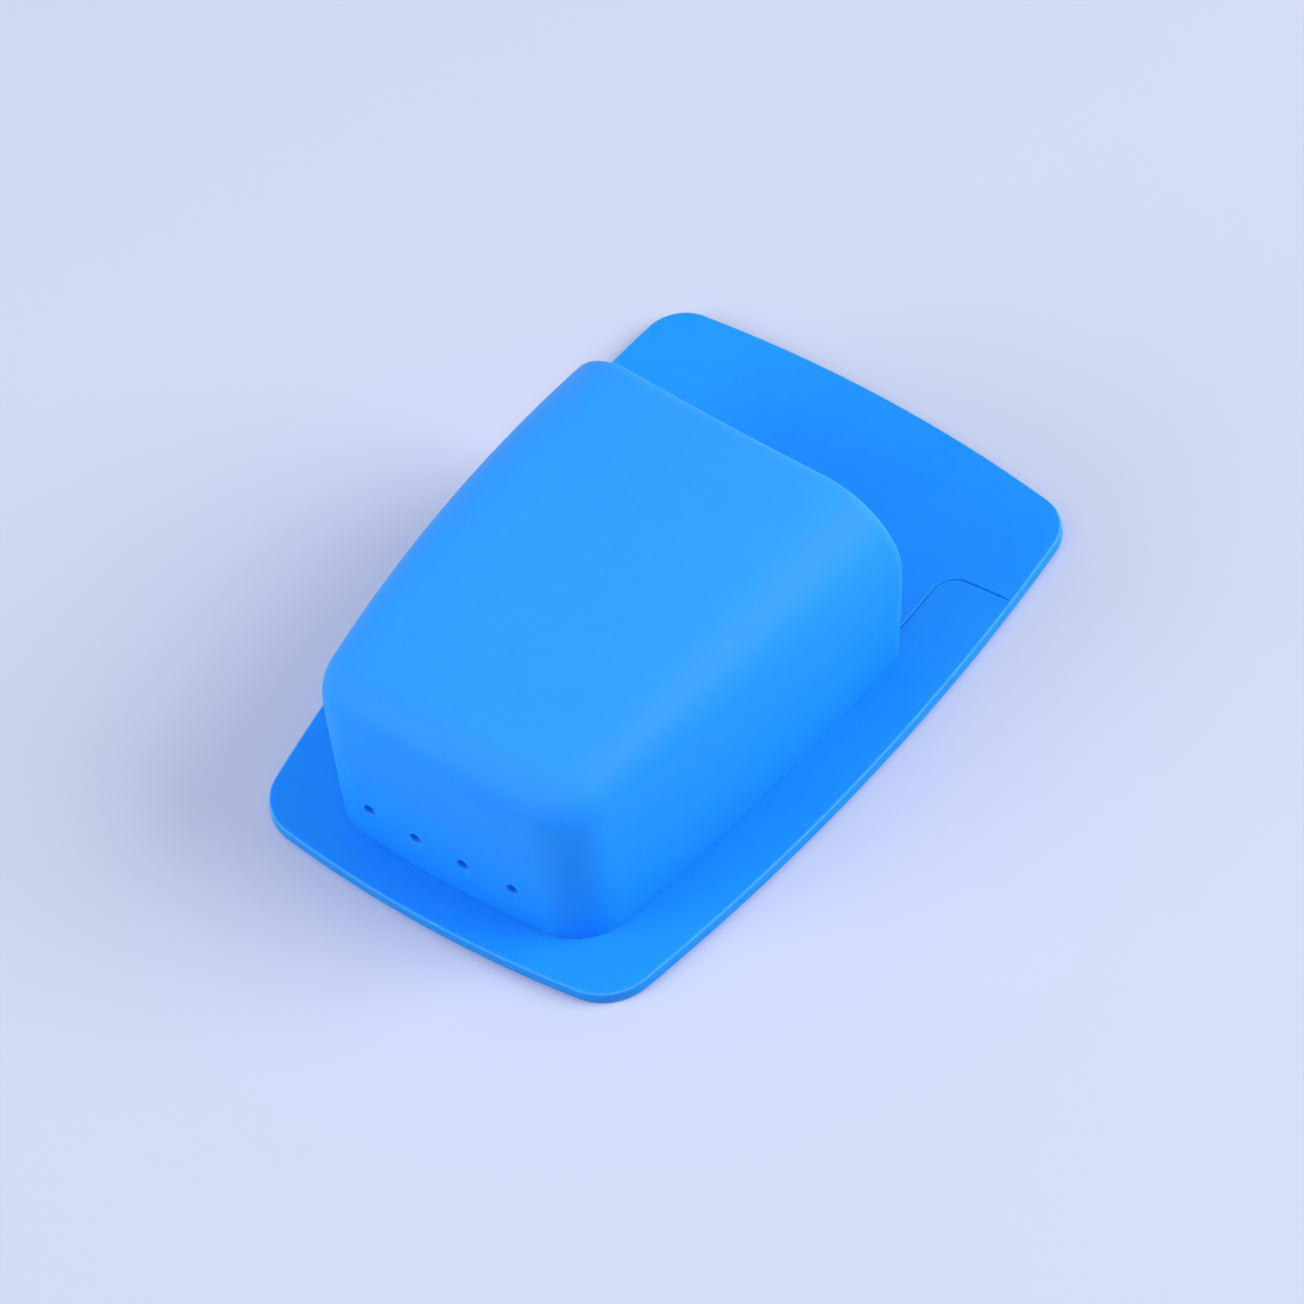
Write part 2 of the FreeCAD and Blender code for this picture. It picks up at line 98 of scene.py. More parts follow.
def half_piece(name, grids, caps, material):
    """Mesh object from the right half of a body, mirrored on the plane x = 0 and merged.

    A grid is an array (courses, rows, 3) in millimetres. Its faces look along the courses' direction
    crossed with the rows' direction. A cap is a ring of points round one flat face.
    """
    points, faces, base = [], [], 0
    for grid in grids:
        courses, rows = grid.shape[:2]
        number = base + np.arange(courses * rows).reshape(courses, rows)
        quads = np.stack([number[:-1, :-1], number[1:, :-1], number[1:, 1:], number[:-1, 1:]], axis=-1)
        faces += quads.reshape(-1, 4).tolist()
        points.append(grid.reshape(-1, 3))
        base += courses * rows
    for cap in caps:
        faces.append(list(range(base, base + len(cap))))
        points.append(cap)
        base += len(cap)
    half = np.concatenate(points)
    whole = np.concatenate([half, half * [-1.0, 1.0, 1.0]]) * MM
    faces += [[base + corner for corner in face[::-1]] for face in faces]
    mesh = bpy.data.meshes.new(name)
    mesh.from_pydata(whole.tolist(), [], faces)
    welded = bmesh.new()
    welded.from_mesh(mesh)
    bmesh.ops.remove_doubles(welded, verts=welded.verts, dist=WELD_UNDER * MM)
    bmesh.ops.dissolve_degenerate(welded, edges=welded.edges, dist=SLIVER_UNDER * MM)
    welded.to_mesh(mesh)
    welded.free()
    mesh.set_sharp_from_angle(angle=SHARP_ANGLE)
    mesh.materials.append(material)
    piece = bpy.data.objects.new(name, mesh)
    bpy.context.scene.collection.objects.link(piece)
    return piece


def set_painted_highlight(piece, share):
    """Point attribute of the painted highlight: how strongly each point is painted paler along a rounded
    edge.
    """
    mesh = piece.data
    spots = np.empty(len(mesh.vertices) * 3)
    mesh.vertices.foreach_get("co", spots)
    layer = mesh.attributes.new("painted_highlight", "FLOAT", "POINT")
    layer.data.foreach_set("value", share(spots.reshape(-1, 3) / MM).astype(np.float32))


# each noise is its scale on a metre, its detail and its roughness
FILM_NOISE, PATCH_NOISE = (38.0, 4.0, 0.55), (210.0, 3.0, 0.6)
# the middle noise of the next line breaks up the painted highlight along rounded edges
LINT_NOISE, HIGHLIGHT_NOISE, GRAIN_NOISE = (900.0, 1.0, 0.4), (330.0, 2.0, 0.5), (2600.0, 2.0, 0.5)
# each range is taken from its first two numbers to its last two
FILM_RANGE, PATCH_RANGE = (0.35, 0.7, 0.0, 1.0), (0.45, 0.75, 0.0, 0.5)
# the second range of the next line is that of the painted highlight's noise
LINT_RANGE, HIGHLIGHT_RANGE = (0.795, 0.82, 0.0, 1.0), (0.2, 0.7, 0.5, 1.0)
# how far a surface faces up, for the painted top light
UPRIGHT_RANGE = (0.2, 0.85, 0.0, 1.0)
# the painted edge highlight pales the colour by the first and roughens it by the second; dust roughens
# by the third
HIGHLIGHT_PALES, HIGHLIGHT_ROUGHENS, DUST_ROUGHENS = 0.6, 0.05, 0.05
LINT_STANDS, GRAIN_DEPTH = 0.6, 0.00004


def silicone_skin():
    """Group: colour, roughness and grain of moulded silicone, with dust, lint and a painted highlight on
    rounded edges.

    The dust film is broad noise plus finer patches, and lightens the colour. What faces up is painted
    paler as painted top light. Lint is the top of a fine noise. The grain is a very fine noise as a
    bump.
    """
    group = bpy.data.node_groups.new("silicone_skin", "ShaderNodeTree")
    sockets = group.interface
    for title, kind, value in (("Colour", "NodeSocketColor", (0.0, 0.3, 1.0, 1.0)),
                               ("Dust And Highlight Colour", "NodeSocketColor", (0.3, 0.6, 1.0, 1.0)),
                               ("Bloom", "NodeSocketFloat", 0.1),
                               ("Painted Top Light", "NodeSocketFloat", 0.0),
                               ("Lint", "NodeSocketFloat", 0.3),
                               ("Grain", "NodeSocketFloat", 0.3),
                               ("Roughness", "NodeSocketFloat", 0.55)):
        sockets.new_socket(title, in_out="INPUT", socket_type=kind).default_value = value
    for title, kind in (("Colour", "NodeSocketColor"), ("Roughness", "NodeSocketFloat"),
                        ("Normal", "NodeSocketVector")):
        sockets.new_socket(title, in_out="OUTPUT", socket_type=kind)
    nodes, links = group.nodes, group.links
    given = nodes.new("NodeGroupInput")
    made = nodes.new("NodeGroupOutput")
    place_on = nodes.new("ShaderNodeTexCoord")

    def noise(scale, detail, roughness):
        """Noise over the body's own coordinates."""
        node = nodes.new("ShaderNodeTexNoise")
        node.inputs["Scale"].default_value = scale
        node.inputs["Detail"].default_value = detail
        node.inputs["Roughness"].default_value = roughness
        links.new(place_on.outputs["Object"], node.inputs["Vector"])
        return node.outputs["Fac"]

    def stretch(value, low, high, least, most):
        """Value taken from one range to another, smoothly and without overshoot."""
        node = nodes.new("ShaderNodeMapRange")
        node.interpolation_type = "SMOOTHSTEP"
        for title, number in (("From Min", low), ("From Max", high),
                              ("To Min", least), ("To Max", most)):
            node.inputs[title].default_value = number
        links.new(value, node.inputs["Value"])
        return node.outputs["Result"]

    def calculate(operation, first, second, clamp=False):
        """Math node of two values or sockets."""
        node = nodes.new("ShaderNodeMath")
        node.operation = operation
        node.use_clamp = clamp
        for place_in, item in zip(node.inputs, (first, second)):
            if isinstance(item, (int, float)):
                place_in.default_value = item
            else:
                links.new(item, place_in)
        return node.outputs["Value"]

    film = stretch(noise(*FILM_NOISE), *FILM_RANGE)
    patches = stretch(noise(*PATCH_NOISE), *PATCH_RANGE)
    lint = stretch(noise(*LINT_NOISE), *LINT_RANGE)
    # painted highlight along rounded edges: a point attribute, broken up by noise
    painted_highlight = nodes.new("ShaderNodeAttribute")
    painted_highlight.attribute_name = "painted_highlight"
    edge = calculate("MULTIPLY", painted_highlight.outputs["Fac"], stretch(noise(*HIGHLIGHT_NOISE), *HIGHLIGHT_RANGE))
    # painted top light: up-facing surfaces painted paler by the given share
    facing = nodes.new("ShaderNodeSeparateXYZ")
    links.new(place_on.outputs["Normal"], facing.inputs["Vector"])
    upright = stretch(facing.outputs["Z"], *UPRIGHT_RANGE)
    painted_top_light = calculate("MULTIPLY", upright, given.outputs["Painted Top Light"])
    dusty = calculate("ADD", film, patches)
    # share of the pale colour from the dust film plus the painted top light
    paling = calculate("ADD", calculate("MULTIPLY", dusty, given.outputs["Bloom"]), painted_top_light)
    # the painted edge highlight pales the colour towards the same pale blue as the dust
    edge_highlight = calculate("MULTIPLY", edge, HIGHLIGHT_PALES)
    lint_share = calculate("MULTIPLY", lint, given.outputs["Lint"])
    share = calculate("ADD", calculate("ADD", paling, edge_highlight), lint_share, clamp=True)
    mix = nodes.new("ShaderNodeMix")
    mix.data_type = "RGBA"
    links.new(share, mix.inputs["Factor"])
    links.new(given.outputs["Colour"], mix.inputs["A"])
    links.new(given.outputs["Dust And Highlight Colour"], mix.inputs["B"])
    links.new(mix.outputs["Result"], made.inputs["Colour"])
    dust_rough = calculate("MULTIPLY", dusty, DUST_ROUGHENS)
    edge_rough = calculate("MULTIPLY", edge, HIGHLIGHT_ROUGHENS)
    rough = calculate("ADD", given.outputs["Roughness"], dust_rough)
    links.new(calculate("ADD", rough, edge_rough, clamp=True), made.inputs["Roughness"])
    grain = calculate("ADD", noise(*GRAIN_NOISE), calculate("MULTIPLY", lint, LINT_STANDS))
    bump = nodes.new("ShaderNodeBump")
    bump.inputs["Distance"].default_value = GRAIN_DEPTH
    links.new(given.outputs["Grain"], bump.inputs["Strength"])
    links.new(grain, bump.inputs["Height"])
    links.new(bump.outputs["Normal"], made.inputs["Normal"])
    return group


SKIN = silicone_skin()


# the last value is the painted top light: how much paler up-facing surfaces are painted
def silicone(name, blue, paling, lint, grain, roughness, painted_top_light=0.0):
    """Material of one silicone part, from the common skin with its own values."""
    material = bpy.data.materials.new(name)
    material.use_nodes = True
    nodes, links = material.node_tree.nodes, material.node_tree.links
    shader = nodes["Principled BSDF"]
    skin = nodes.new("ShaderNodeGroup")
    skin.node_tree = SKIN
    skin.inputs["Colour"].default_value = (*blue, 1.0)
    skin.inputs["Dust And Highlight Colour"].default_value = (*DUST_AND_HIGHLIGHT_BLUE, 1.0)
    skin.inputs["Bloom"].default_value = paling
    skin.inputs["Painted Top Light"].default_value = painted_top_light
    skin.inputs["Lint"].default_value = lint
    skin.inputs["Grain"].default_value = grain
    skin.inputs["Roughness"].default_value = roughness
    links.new(skin.outputs["Colour"], shader.inputs["Base Color"])
    links.new(skin.outputs["Roughness"], shader.inputs["Roughness"])
    links.new(skin.outputs["Normal"], shader.inputs["Normal"])
    shader.inputs["IOR"].default_value = 1.41
    shader.inputs["Specular IOR Level"].default_value = 0.2
    shader.subsurface_method = "RANDOM_WALK"
    shader.inputs["Subsurface Weight"].default_value = 0.6
    shader.inputs["Subsurface Radius"].default_value = (0.1, 0.3, 1.0)
    shader.inputs["Subsurface Scale"].default_value = 0.002
    return material


SIDE_MIDDLE = np.array([PLATE_WIDTH / 2 - SIDE_BOW, PLATE_WIDEST_AT])
CLOSED_MIDDLE = np.array([0.0, CLOSED_END + CLOSED_BOW])
MOUTH_MIDDLE = np.array([0.0, MOUTH_END - MOUTH_BOW])
CLOSED_TURN = meeting(CLOSED_MIDDLE, CLOSED_BOW - CLOSED_CORNER, SIDE_MIDDLE, SIDE_BOW - CLOSED_CORNER)
MOUTH_TURN = meeting(SIDE_MIDDLE, SIDE_BOW - MOUTH_CORNER, MOUTH_MIDDLE, MOUTH_BOW - MOUTH_CORNER)

# bearings at which the closed end's arc stops, the side starts and stops and the mouth end's starts
CLOSED_END_TO, SIDE_FROM = bearing(CLOSED_MIDDLE, CLOSED_TURN), bearing(SIDE_MIDDLE, CLOSED_TURN)
SIDE_TO, MOUTH_END_FROM = bearing(SIDE_MIDDLE, MOUTH_TURN), bearing(MOUTH_MIDDLE, MOUTH_TURN)
CLOSED_PART = [
    arc(CLOSED_MIDDLE, CLOSED_BOW, np.linspace(-np.pi / 2, CLOSED_END_TO, END_STEPS)),
    arc(CLOSED_TURN, CLOSED_CORNER, np.linspace(CLOSED_END_TO, SIDE_FROM, CORNER_STEPS))]
MOUTH_PART = [
    arc(MOUTH_TURN, MOUTH_CORNER, np.linspace(SIDE_TO, MOUTH_END_FROM, CORNER_STEPS)),
    arc(MOUTH_MIDDLE, MOUTH_BOW, np.linspace(MOUTH_END_FROM, np.pi / 2, END_STEPS))]
WHOLE_SIDE = [arc(SIDE_MIDDLE, SIDE_BOW, np.linspace(SIDE_FROM, SIDE_TO, SIDE_STEPS))]
PLATE = CLOSED_PART + WHOLE_SIDE + MOUTH_PART

grip_silicone = silicone("tacky_blue_silicone", TACKY_BLUE, paling=0.05, lint=0.5, grain=0.2,
                         roughness=0.38)
GRIP_INSET = GRIP_MARGIN + GRIP_GAP
grip_edge = edge_rows(PLATE, [GRIP_INSET + GRIP_EDGE_IN, GRIP_INSET, GRIP_INSET],
                      [GRIP_CLEAR, GRIP_EDGE_UP, GRIP_DEPTH - GRIP_CLEAR])
grip = half_piece("grip_sheet_skin", [grip_edge], [grip_edge[:, -1], grip_edge[::-1, 0]], grip_silicone)
# no painted highlight on the grip sheet
set_painted_highlight(grip, lambda spots: np.zeros(len(spots)))
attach(grip, "root")
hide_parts("grip_sheet")

# ---------------------------------------------------------------- back half
# Full plate of matte blue silicone that closes the pocket's back. A raised land fills the plan
# of the pocket and all that lies beyond the seam. The front moulding's flange is bonded round it.

BACK_TOP, PLATE_TOP = 1.8, 3.3
EDGE_ROUND, BACK_ROUND = 0.5, 0.6
POCKET_WIDTH, POCKET_WIDEST_AT, POCKET_BOW = 86.5, 32.1, 583.0
POCKET_REACH, POCKET_END_BOW, POCKET_CORNER = 70.2, 255.0, 13.6
SEAM_END, SEAM_SLOPE, SEAM_CORNER, SEAM_INSET = 51.4, 0.092, 5.2, 4.05
LAND_ROUND, TAB_ROUND = 0.42, 0.26
SEAM_GAP, GAP_FROM, GAP_FADE, SEAM_FADE = 0.14, 1.25, 0.9, 1.6
SEAM_STEPS, TAB_STEPS = 20, 24
EVEN_FROM = 0.007
# painted highlight on the plate's rounded top edge: its peak's distance from the outline, its reach, the
# height it starts from and its fade in height
HIGHLIGHT_AT, HIGHLIGHT_REACH, HIGHLIGHT_OVER, HIGHLIGHT_FADE = 0.12, 0.32, 2.82, 0.15
MOULDED_BLUE = (0.011, 0.314, 1.0)

POCKET_MIDDLE = np.array([POCKET_WIDTH / 2 - POCKET_BOW, POCKET_WIDEST_AT])
POCKET_END_MIDDLE = np.array([0.0, POCKET_END_BOW - POCKET_REACH])
POCKET_TURN = meeting(POCKET_END_MIDDLE, POCKET_END_BOW - POCKET_CORNER,
                      POCKET_MIDDLE, POCKET_BOW - POCKET_CORNER)

# offsets from an outline: close together over the rounded edge, two more on the flat and, in FINE,
# two beyond those
EDGE_STEPS = EDGE_ROUND * (1 - np.cos(np.radians(np.linspace(0, 90, 10))))
EDGE_STEPS = np.append(EDGE_STEPS, [0.9, 1.15])
FINE = np.append(EDGE_STEPS, [1.4, 1.8])

# the tab's corner touches the seam beside the pocket and the leaning part of the seam's end stretch;
# its middle's place across and its place along depend on each other, so they are found by turns
SEAM_LEVEL_FROM = SIDE_MIDDLE[0] + np.sqrt(SIDE_BOW ** 2 - (SEAM_END - SIDE_MIDDLE[1]) ** 2) - FINE[-1]
TAB_TILT = np.arctan(SEAM_SLOPE)
TAB_DROP = SEAM_CORNER / np.cos(TAB_TILT)
TAB_REACH = POCKET_BOW - SEAM_INSET + SEAM_CORNER
TAB_MIDDLE = np.array([0.0, SEAM_END - SEAM_CORNER])
for _ in range(5):
    TAB_MIDDLE[0] = POCKET_MIDDLE[0] + np.sqrt(TAB_REACH ** 2 - (TAB_MIDDLE[1] - POCKET_WIDEST_AT) ** 2)
    TAB_MIDDLE[1] = SEAM_END - SEAM_SLOPE * (SEAM_LEVEL_FROM - TAB_MIDDLE[0]) - TAB_DROP


def drop(radius, distance):
    """How far a rounded edge lies under its flat top, r - sqrt(r^2 - (r - d)^2) at a distance d."""
    left = radius - np.minimum(distance, radius)
    return radius - np.sqrt(np.maximum(radius ** 2 - left ** 2, 0.0))


def seam_line(side):
    """Seam's end stretch, from the tab's corner out to the plate's side, which it meets squarely.

    Its line is y = y0 - k max(x0 - x, 0), with the slope k as far as x0 and level beyond. side is +1
    for offsets towards the mouth end and -1 for offsets towards the closed end. Each offset line stops
    where it meets the plate's side at the same offset. The mouth's side stands off by a gap that
    closes before the plate's side.
    """
    def meets(offsets):
        across = SIDE_BOW - offsets
        return SIDE_MIDDLE[0] + np.sqrt(across ** 2 - (SEAM_END + side * offsets - SIDE_MIDDLE[1]) ** 2)

    corner = meets(np.zeros(1))[0]
    course = np.concatenate([np.linspace(TAB_MIDDLE[0], corner - FINE[-1], 14), corner - FINE[-2::-1]])

    def points(offsets):
        place = course[:, None]
        across = np.minimum(place, meets(offsets)[None, :])
        gap = SEAM_GAP * np.clip((corner - place - GAP_FROM) / GAP_FADE, 0.0, 1.0) * (side > 0)
        along = SEAM_END - SEAM_SLOPE * np.maximum(SEAM_LEVEL_FROM - place, 0.0)
        return np.stack([across, along + side * offsets + gap], axis=-1)
    return points


# the seam round the pocket: middle, radius and angles of its end, corner and side
POCKET_END_TO = bearing(POCKET_END_MIDDLE, POCKET_TURN)
POCKET_SIDE_FROM = bearing(POCKET_MIDDLE, POCKET_TURN)
SEAM_SIDE_END = bearing(POCKET_MIDDLE, TAB_MIDDLE)
SEAM_ANGLES = (
    (POCKET_END_MIDDLE, POCKET_END_BOW - SEAM_INSET, np.linspace(-np.pi / 2, POCKET_END_TO, SEAM_STEPS)),
    (POCKET_TURN, POCKET_CORNER - SEAM_INSET, np.linspace(POCKET_END_TO, POCKET_SIDE_FROM, SEAM_STEPS)),
    (POCKET_MIDDLE, POCKET_BOW - SEAM_INSET, np.linspace(POCKET_SIDE_FROM, SEAM_SIDE_END, SIDE_STEPS)))
TAB_ANGLES = np.linspace(SEAM_SIDE_END + np.pi, np.pi / 2 + TAB_TILT, TAB_STEPS)


def seam_angle(offset_way):
    """Limit of the plate side's angles where it meets the seam, for offsets to one side of it."""
    def keep(turn, radii, offsets):
        limit = np.arcsin((SEAM_END + offset_way * offsets - SIDE_MIDDLE[1]) / radii)
        return np.maximum(turn, limit) if offset_way > 0 else np.minimum(turn, limit)
    return keep


# angles of the plate's side on each side of the seam: close together beside it, even from there on
SEAM_TURN = np.arcsin((SEAM_END - SIDE_MIDDLE[1]) / SIDE_BOW)
LAND_SIDE_ANGLES = np.concatenate([SEAM_TURN + FINE / SIDE_BOW,
                                   np.linspace(SEAM_TURN + EVEN_FROM, SIDE_TO, 12)])
CLOSED_SIDE_ANGLES = np.concatenate([np.linspace(SIDE_FROM, SEAM_TURN - EVEN_FROM, 50),
                                     SEAM_TURN - FINE[::-1] / SIDE_BOW])


def seam_heights(plan, rounding):
    """Heights along the seam: rounded there, and rounded again where the plate's side is near.

    The seam's rounding r fades out towards the side as r f^2 (3 - 2f), with f the share of the way.
    """
    to_side = SIDE_BOW - np.hypot(plan[..., 0] - SIDE_MIDDLE[0], plan[..., 1] - SIDE_MIDDLE[1])
    fade = np.clip(to_side[:, :1] / SEAM_FADE, 0.0, 1.0)
    faded = rounding * fade ** 2 * (3 - 2 * fade)
    return PLATE_TOP - drop(EDGE_ROUND, to_side) - drop(faded, EDGE_STEPS[None, :])


def flat_body(stretches, rounding):
    """Edge grid of a body between the back half's top and the plate's top.

    stretches are pairs of a stretch of outline and whether it lies on the seam.
    """
    grids = []
    for points, on_seam in stretches:
        plan = points(EDGE_STEPS)
        if on_seam:
            heights = seam_heights(plan, rounding)
        else:
            heights = np.broadcast_to(PLATE_TOP - drop(EDGE_ROUND, EDGE_STEPS), plan.shape[:2])
        top = np.concatenate([plan, heights[..., None]], axis=-1)
        foot = top[:, :1] * [1.0, 1.0, 0.0] + [0.0, 0.0, BACK_TOP]
        grids.append(np.concatenate([foot, top], axis=1))
    return np.concatenate(grids)


back_silicone = silicone("back_blue_silicone", MOULDED_BLUE, paling=0.02, lint=0.25, grain=0.3,
                         roughness=0.5)
FOOT_TURN = np.radians(np.linspace(90, 0, 6))
LOWER_OFFSETS = np.concatenate([[GRIP_MARGIN] * 2, BACK_ROUND * (1 - np.cos(FOOT_TURN)), [0.0]])
LOWER_HEIGHTS = np.concatenate([[GRIP_DEPTH, 0.0], BACK_ROUND * (1 - np.sin(FOOT_TURN)), [BACK_TOP]])
lower_closed = edge_rows(CLOSED_PART + [arc(SIDE_MIDDLE, SIDE_BOW, CLOSED_SIDE_ANGLES)],
                         LOWER_OFFSETS, LOWER_HEIGHTS)
lower_mouth = edge_rows([arc(SIDE_MIDDLE, SIDE_BOW, LAND_SIDE_ANGLES)] + MOUTH_PART,
                        LOWER_OFFSETS, LOWER_HEIGHTS)
land_seam = flat_body(
    [(arc(middle, radius - SEAM_GAP, angles), True) for middle, radius, angles in SEAM_ANGLES]
    + [(arc(TAB_MIDDLE, SEAM_CORNER + SEAM_GAP, TAB_ANGLES, inward=-1.0), True), (seam_line(1.0), True)],
    LAND_ROUND)
land_side = flat_body(
    [(arc(SIDE_MIDDLE, SIDE_BOW, LAND_SIDE_ANGLES, keep=seam_angle(1.0)), False)]
    + [(stretch, False) for stretch in MOUTH_PART], LAND_ROUND)
recess = np.concatenate([lower_closed[:, 0], lower_mouth[:, 0]])
seat = np.concatenate([lower_closed[:, -1], land_seam[::-1, 0]])
land_top = np.concatenate([land_seam[:, -1], land_side[:, -1]])
back = half_piece("back_half", [lower_closed, lower_mouth, land_seam, land_side],
                  [recess[::-1], seat, land_top], back_silicone)


def plate_rim(spots):
    """Share of the painted highlight on the plate's rounded front edge, by the distance from its
    outline.

    The distance is radius - |p - middle| for the nearest of the sides, the ends and, between the
    bearings where a corner starts and ends, that corner.
    """
    across, along = np.abs(spots[:, 0]), spots[:, 1]
    long_arcs = ((SIDE_MIDDLE, SIDE_BOW), (CLOSED_MIDDLE, CLOSED_BOW), (MOUTH_MIDDLE, MOUTH_BOW))
    within = np.minimum.reduce([radius - np.hypot(across - middle[0], along - middle[1])
                                for middle, radius in long_arcs])
    for turn, radius, start, finish in ((CLOSED_TURN, CLOSED_CORNER, CLOSED_END_TO, SIDE_FROM),
                                        (MOUTH_TURN, MOUTH_CORNER, SIDE_TO, MOUTH_END_FROM)):
        way = np.arctan2(along - turn[1], across - turn[0])
        turned = (way > start) & (way < finish)
        within = np.where(turned, radius - np.hypot(across - turn[0], along - turn[1]), within)
    near = np.clip(1.0 - np.abs(within - HIGHLIGHT_AT) / HIGHLIGHT_REACH, 0.0, 1.0)
    return near * np.clip((spots[:, 2] - HIGHLIGHT_OVER) / HIGHLIGHT_FADE, 0.0, 1.0)


# painted highlight along the back half's rounded top edge
set_painted_highlight(back, plate_rim)
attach(back, "root")
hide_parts("back_plate")

# ---------------------------------------------------------------- flange of the front moulding
# Flat rim of the front moulding, round three sides of the pocket, with a tab beside each foot of
# the mouth. It is bonded to the back half, flush with its land, and the seam shows as a fine line.

front_silicone = silicone("front_blue_silicone", MOULDED_BLUE, paling=0.02, lint=0.25, grain=0.3,
                          roughness=0.5)


def backwards(stretch):
    """The same stretch of outline, followed the other way."""
    return lambda offsets: stretch(offsets)[::-1]


flange_edge = flat_body(
    [(stretch, False) for stretch in CLOSED_PART]
    + [(arc(SIDE_MIDDLE, SIDE_BOW, CLOSED_SIDE_ANGLES, keep=seam_angle(-1.0)), False),
       (backwards(seam_line(-1.0)), True),
       (arc(TAB_MIDDLE, SEAM_CORNER, TAB_ANGLES[::-1]), True)]
    + [(arc(middle, radius, angles[::-1], inward=-1.0), True)
       for middle, radius, angles in SEAM_ANGLES[::-1]], TAB_ROUND)
flange = half_piece("pocket_flange", [flange_edge], [flange_edge[:, -1], flange_edge[::-1, 0]],
                    front_silicone)
# painted highlight along the flange's rounded top edge
set_painted_highlight(flange, plate_rim)
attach(flange, "root")
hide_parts("pocket_shell")

# ---------------------------------------------------------------- pocket
# Domed pocket of the front moulding, one with the flange. Upright bowed walls turn into an arched and
# crowned top over shoulders that widen towards the mouth, and four holes drain the closed end.

POCKET_HEIGHT, POCKET_TOP_AT = 52.79, -23.1
ARCH, CROWN = 413.0, 200.0
SHOULDER_CLOSED, SHOULDER_MOUTH = 11.5, 22.0
SHOULDER_END_AT = 49.0
MOUTH_AT, MOUTH_SCOOP, MOUTH_LEAN = 29.0, 207.0, 9.7
WALL, LIP_OUTSIDE, LIP_INSIDE = 3.0, 0.9, 0.6
WAVE, WAVE_FROM, WAVE_TOP, WAVE_END = 0.7, 13.6, 24.0, 42.0
FOOT = 2.7
POLE_AT = -46.0
DRAIN_RADIUS, DRAIN_PITCH, DRAIN_HEIGHT, DRAIN_OFFSET, DRAIN_LIP = 1.4, 12.6, 13.8, -1.8, 0.4
DRAIN_COUNT, DRILL_BEFORE, DRILL_PAST = 4, 3.0, 8.0
# reach of the painted highlight on the mouth's lip, from the mouth's surface
LIP_HIGHLIGHT_REACH = 1.2


def top_height(across, along, inset):
    """Height and slopes of the top: an arc across, carried along a larger arc about a level axis.

    z = H - A + sqrt(R(x)^2 - (y - y0)^2), with R(x) = A - C + sqrt(C^2 - x^2), the arch A and the
    crown C, all less the inset.
    """
    crown, arch = CROWN - inset, ARCH - inset
    bend = np.sqrt(crown ** 2 - across ** 2)
    swing = arch - crown + bend
    rise = np.sqrt(swing ** 2 - (along - POCKET_TOP_AT) ** 2)
    return (POCKET_HEIGHT - inset - arch + rise, -swing * across / bend / rise,
            -(along - POCKET_TOP_AT) / rise)


def pocket_surface(foot, inward, radius, goal, course, inset):
    """Skin of the pocket over its foot line: up the wall, round the shoulder and over to the goal.

    course runs 0-1 up the wall, 1-2 round the shoulder, a quarter circle less the top's slope that
    touches wall and top, and 2-3 straight in plan to the goal, on the top's surface. The slope and
    the place where the shoulder touches the top depend on each other, so they are found by turns.
    """
    tilt = np.zeros(np.broadcast(radius, course).shape)
    for _ in range(6):
        reach = radius * (1 - np.sin(tilt))
        height, slope_x, slope_y = top_height(foot[..., 0] + inward[..., 0] * reach,
                                              foot[..., 1] + inward[..., 1] * reach, inset)
        tilt = np.arctan(slope_x * inward[..., 0] + slope_y * inward[..., 1])
    middle_height = height - radius * np.cos(tilt)
    turn = np.clip(course - 1, 0, 1) * (np.pi / 2 - tilt)
    depth = radius * (1 - np.cos(turn))
    z = np.where(course < 1, FOOT + (middle_height - FOOT) * np.clip(course, 0, 1),
                 middle_height + radius * np.sin(turn))
    x = foot[..., 0] + inward[..., 0] * depth
    y = foot[..., 1] + inward[..., 1] * depth
    onward = np.clip(course - 2, 0, 1)
    x = x + (goal[..., 0] - x) * onward
    y = y + (goal[..., 1] - y) * onward
    z = np.where(course > 2, top_height(x, y, inset)[0], z)
    return np.stack([x, y, z], axis=-1)


# rows of the skin: a few at the wall's foot, then evenly up the wall, round the shoulder and over
COURSE = np.concatenate([np.linspace(0, 0.03, 3)[:-1], np.linspace(0.03, 1, 16)[:-1],
                         np.linspace(1, 2, 25)[:-1], np.linspace(2, 3, 26)])[None, :]


def turned_part(inset):
    """Closed end and corner of the pocket's skin, whose top fans out from one point of the spine."""
    pieces = []
    for middle, radius, angles in (
            (POCKET_END_MIDDLE, POCKET_END_BOW, np.linspace(-np.pi / 2, POCKET_END_TO, 22)),
            (POCKET_TURN, POCKET_CORNER, np.linspace(POCKET_END_TO, POCKET_SIDE_FROM, 26)[1:])):
        outward = np.stack([np.cos(angles), np.sin(angles)], axis=-1)[:, None, :]
        foot = middle + (radius - inset) * outward
        goal = np.array([0.0, POLE_AT]) * np.ones_like(foot)
        pieces.append(pocket_surface(foot, -outward, SHOULDER_CLOSED - inset, goal, COURSE, inset))
    return np.concatenate(pieces)


